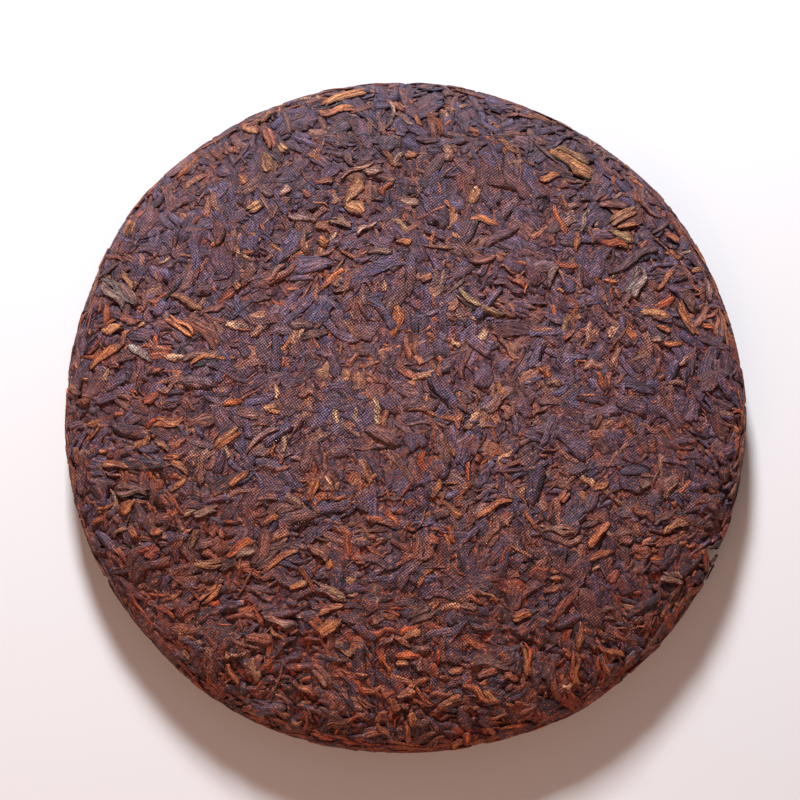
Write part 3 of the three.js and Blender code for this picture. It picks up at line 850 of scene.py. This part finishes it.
kinds = {
    "broad_leaves": dict(
        flake, front=1300, back=900, jitter=2.5, wild=0.4, length=(6, 16), width=(2.4, 5.4), bow=0.06,
        height=(0.2, 0.95), fade=0.3,
        # the first tint's bluish purple is partly a painted cool sheen
        colours=((68, 56, 80), *slates, slates[1], (104, 66, 58), (118, 76, 62)),
    ),
    "tan_flakes": dict(
        flake, front=170, back=100, jitter=6.0, wild=0.5, length=(4, 9), width=(2.0, 4.2), bow=0.1,
        height=(0.3, 0.8), fade=0.7, weave=0.7, colours=(*browns, *tans[:2]),
    ),
    "dark_strands": dict(
        strand, **dark, front=440, back=260, bunch=(1, 5), shy=0.65, length=(5, 13), width=(1.5, 2.8),
        bow=0.07, roll=0.1, twist=0.15, height=(0.25, 1.0), box=0.75,
    ),
    "dark_slivers": dict(
        sliver, **dark, front=600, back=340, bunch=(1, 4), shy=0.8, length=(3, 9), width=(0.9, 1.8),
        bow=0.06, roll=0.15, height=(0.15, 0.9),
    ),
    "brown_strands": dict(
        strand, **brown, front=300, back=170, bunch=(1, 4), shy=0.6, length=(5, 12), width=(1.4, 2.7),
        height=(0.4, 1.05),
    ),
    "brown_slivers": dict(
        sliver, **brown, front=420, back=240, bunch=(1, 3), shy=0.7, length=(3, 8), width=(0.8, 1.7),
        height=(0.3, 1.0),
    ),
    "russet_strands": dict(
        strand, **russet, **furrowed, front=300, back=160, bunch=(1, 3), shy=0.8, length=(5, 12),
        width=(1.3, 2.7), thick=(0.8, 1.2), height=(0.55, 1.05), fade=0.75, furrowDepth=0.4,
    ),
    "russet_slivers": dict(
        sliver, **russet, front=420, back=200, bunch=(1, 3), shy=0.6, length=(2.5, 7), width=(0.7, 1.5),
        thick=(0.7, 1.0), height=(0.5, 1.1),
    ),
    "golden_tips": dict(
        strand, **furrowed, front=190, back=90, bunch=(1, 2), jitter=6.0, wild=0.6, low=0.3, shy=0.4,
        length=(4, 10), width=(1.0, 2.4), thick=(0.7, 1.0), bow=0.08, height=(0.55, 1.0),
        furrowDepth=0.4, rust=0.3, colours=(*tans, (160, 132, 98)),
    ),
    "stems": dict(
        strand, ring=slimRing, front=220, back=110, jitter=6.0, wild=0.6, shy=0.3, length=(5, 14),
        width=(0.6, 1.1), thick=(0.7, 1.0), bow=0.05, roll=0.3, twist=0.3, height=(0.6, 1.08), box=0.9,
        fade=0.6, rust=0.2, colours=(slates[0], browns[1], tans[0]),
    ),
    "rim_strands": dict(
        sliver, front=130, back=90, bunch=(1, 3), inner=chartRadius - 6, jitter=0.6, spread=0.12, wild=0.0,
        length=(7, 17), width=(0.9, 1.9), sections=8, bow=0.03, roll=0.1, twist=0.15, height=(0.7, 1.15),
        box=0.85, rust=0.3, colours=(slates[1], browns[1], *russets[:2], tans[0], russets[2]),
    ),
    "broken_bits": dict(
        sliver, front=2300, back=1100, jitter=4.0, spread=0.8, wild=0.7, shy=0.85, length=(1.4, 4.5),
        width=(0.7, 1.8), thick=(0.5, 0.8), sections=3, bow=0.06, roll=0.2, twist=0.3,
        height=(0.1, 0.95), box=0.75, fade=0.5, rust=0.4,
        colours=(*slates[:3], *browns[:2], russets[1], tans[1]),
    ),
}
growBold(bold, 90)
for number, (name, kind) in enumerate(kinds.items()):
    growKind(name, kind, 100 + number)

# the core that shows between the leaves
core = dict(
    segments=210, bumps=0.08, looseBumps=0.25, bumpSize=2.2, cellSize=4.4 * mm, cellShift=2.4 * mm,
    grain=(260, 1500, 400),  # along, across and through a fragment, per metre
    slit=0.09, rust=0.7, roughness=0.75, specular=0.3,
    stops=((0.0, slates[0]), (0.4, slates[1]), (0.7, slates[3]), (1.0, browns[1])),
)


def coreFinish():
    # fragments pressed flush: each cell has its own grain direction and tint
    finish = Finish("packed_core")
    place = finish.node("ShaderNodeTexCoord", output=3)
    shift = finish.noise(place, *textures["coreShift"]).output(1)
    shift = finish.node("ShaderNodeVectorMath", {"operation": "SCALE"}, {0: shift, 3: core["cellShift"]})
    warped = finish.vector("ADD", place, shift)
    sockets = {"Vector": warped, "Scale": 1 / core["cellSize"]}
    cells = finish.node("ShaderNodeTexVoronoi", {}, sockets, 1)
    borders = finish.node("ShaderNodeTexVoronoi", {"feature": "DISTANCE_TO_EDGE"}, sockets)
    chance = finish.split(cells)
    sockets = {"Vector": finish.vector("SUBTRACT", warped, cells.output(2)), "Angle": chance * (2 * pi)}
    turned = finish.node("ShaderNodeVectorRotate", {"rotation_type": "Z_AXIS"}, sockets)
    grain = finish.vector("ADD", finish.vector("MULTIPLY", turned, core["grain"]), cells)
    furrows = finish.texture(grain, "coreFurrows")
    slit = finish.range(borders, 0.0, core["slit"], 1.0, 0.0) * finish.texture(place, "coreSlits", 0.4, 0.55)
    specks = finish.texture(place, "specks")
    mottle = finish.texture(place, "mottle")
    threads = clothWeave(finish, place)
    pressed = finish.attribute("pressed")
    weaveShare = pressed * weavePatches(finish, place)

    stops = [(share, linear(*colour)) for share, colour in core["stops"]]
    tint = finish.ramp(stops, chance.output(1) * 0.6 + mottle * 0.4)
    colour = withPaintedLight(finish, place, crumbTints(finish, place, tint, core["rust"]))
    # painted shade: darker in the slits between fragments and where the core lies deep between loose leaves
    shade = (furrows * 0.6 + mottle * 0.35 + specks * 0.8 - 0.08) * (1 - slit * 0.85) * (pressed * 0.6 + 0.4)
    colour = shadedTint(finish, colour, woven(shade, threads, weaveShare))
    height = furrows * 0.15 + threads * weaveShare * weave["depth"] + specks * 0.03 - slit * 0.3
    return finish.close(colour, core["roughness"], height, core["specular"])


def roundGrid(bm, segments):
    # a square grid drawn into a disc of radius 1, its rows becoming rings
    made = bmesh.ops.create_grid(bm, x_segments=segments, y_segments=segments, size=1)["verts"]
    for vertex in made:
        x, y, _ = vertex.co
        reach = x if abs(x) >= abs(y) else y
        if reach:
            turn = pi / 4 * (y / x) if reach == x else pi / 2 - pi / 4 * (x / y)
            vertex.co = (reach * cos(turn), reach * sin(turn), 0)
    return made


def makeCore():
    bm = bmesh.new()
    tight = bm.verts.layers.float.new("pressed")
    front = roundGrid(bm, core["segments"])
    back = roundGrid(bm, core["segments"])
    bmesh.ops.translate(bm, verts=back, vec=(0, 0, -1))
    bake = bm.loops.layers.uv.new("OFBake")  # the front in the left half, the back in the right half
    for face in bm.faces:
        for loop in face.loops:
            x, y, z = loop.vert.co
            loop[bake].uv = (0.25 + 0.245 * x + (0.5 if z < -0.5 else 0), 0.5 + 0.49 * y)
    verts = front + back
    flat = np.array([vertex.co for vertex in verts])
    onBack = flat[:, 2] < -0.5
    share = np.hypot(flat[:, 0], flat[:, 1])
    angle = np.arctan2(flat[:, 1], flat[:, 0])
    u, v = share * chartRadius * np.cos(angle), share * chartRadius * np.sin(angle)
    loose = np.where(onBack, looseness("back", u, v), looseness("front", u, v))
    depth = np.where(onBack, (1 - share) * 40, 0)
    size = core["bumpSize"]
    grit = np.array([noise.fractal((a / size, b / size, c), 0.9, 2.0, 3) for a, b, c in zip(u, v, depth)])
    lift = groundLevel(loose) + grit * (core["bumps"] + core["looseBumps"] * loose)
    places = np.where(onBack[:, None], onFace("back", u, v, lift), onFace("front", u, v, lift))
    dent = np.exp(-(fromGap(places, cake["gapReach"]) ** 4))[:, None] * cake["gapDepth"]
    places = (places - dent * np.array([cos(cake["gapAngle"]), sin(cake["gapAngle"]), 0])) * mm
    for vertex, place, value in zip(verts, places, 1 - 0.8 * loose):
        vertex.co = place
        vertex[tight] = value
    bmesh.ops.remove_doubles(bm, verts=bm.verts, dist=0.02 * mm)
    bmesh.ops.recalc_face_normals(bm, faces=bm.faces)
    print("packed_core open edges", sum(not edge.is_manifold for edge in bm.edges))
    mesh = bpy.data.meshes.new("packed_core")
    bm.to_mesh(mesh)
    bm.free()
    mesh.polygons.foreach_set("use_smooth", np.ones(len(mesh.polygons), bool))
    finishPiece("packed_core", mesh, coreFinish())
    print("packed_core", len(mesh.polygons), "faces")


makeCore()

# the floor, the lights and the camera
studio = dict(
    floor=3.0, floorColour=(0.6, 0.59, 0.58, 1), floorRoughness=0.7,
    world=0.21, worldColour=(1.0, 0.8, 0.87, 1), lightAim=(0, 0, 0.01),
    lights=dict(  # place, size, power and colour
        key=((-0.16, 0.92, 0.56), 0.2, 30.6, (0.9, 0.93, 1.0)),
        fill=((-0.2, -0.68, 0.48), 0.6, 3.4, (1.0, 0.56, 0.34)),
    ),
)
shot = dict(
    azimuth=radians(-15), elevation=radians(81), distance=0.5525, lens=85.0,
    aim=(-0.0024, 0.0025, 0.012), turn=radians(1.6),
)


def areaLight(name, place, size, power, colour):
    light = bpy.data.lights.new(name, "AREA")
    light.energy = power
    light.size = size
    light.color = colour
    lamp = addObject(name, light)
    lamp.location = place
    lamp.rotation_euler = (Vector(studio["lightAim"]) - lamp.location).to_track_quat("-Z", "Y").to_euler()


def makeStudio():
    bm = bmesh.new()
    bmesh.ops.create_grid(bm, x_segments=1, y_segments=1, size=studio["floor"] / 2)
    mesh = bpy.data.meshes.new("floor")
    bm.to_mesh(mesh)
    bm.free()
    finish = Finish("floor")
    finish.set(Base_Color=studio["floorColour"], Roughness=studio["floorRoughness"])
    mesh.materials.append(finish.material)
    floor = addObject("floor", mesh)
    world = bpy.data.worlds.new("studio")
    world.use_nodes = True
    background = world.node_tree.nodes["Background"]
    background.inputs["Color"].default_value = studio["worldColour"]
    background.inputs["Strength"].default_value = studio["world"]
    bpy.context.scene.world = world
    for name, light in studio["lights"].items():
        areaLight(name, *light)


def makeCamera():
    camera = bpy.data.cameras.new("camera")
    camera.lens = shot["lens"]
    camera.clip_start = 0.02
    eye = addObject("camera", camera)
    level = cos(shot["elevation"])
    away = Vector((sin(shot["azimuth"]) * level, -cos(shot["azimuth"]) * level, sin(shot["elevation"])))
    eye.location = Vector(shot["aim"]) + away * shot["distance"]
    upward = Vector((-sin(shot["turn"]), cos(shot["turn"]), 0))
    side = upward.cross(away).normalized()
    eye.rotation_euler = Matrix((side, away.cross(side), away)).transposed().to_euler()
    bpy.context.scene.camera = eye


makeStudio()
makeCamera()
bpy.context.scene.view_settings.view_transform = "Standard"
print("studio and camera")
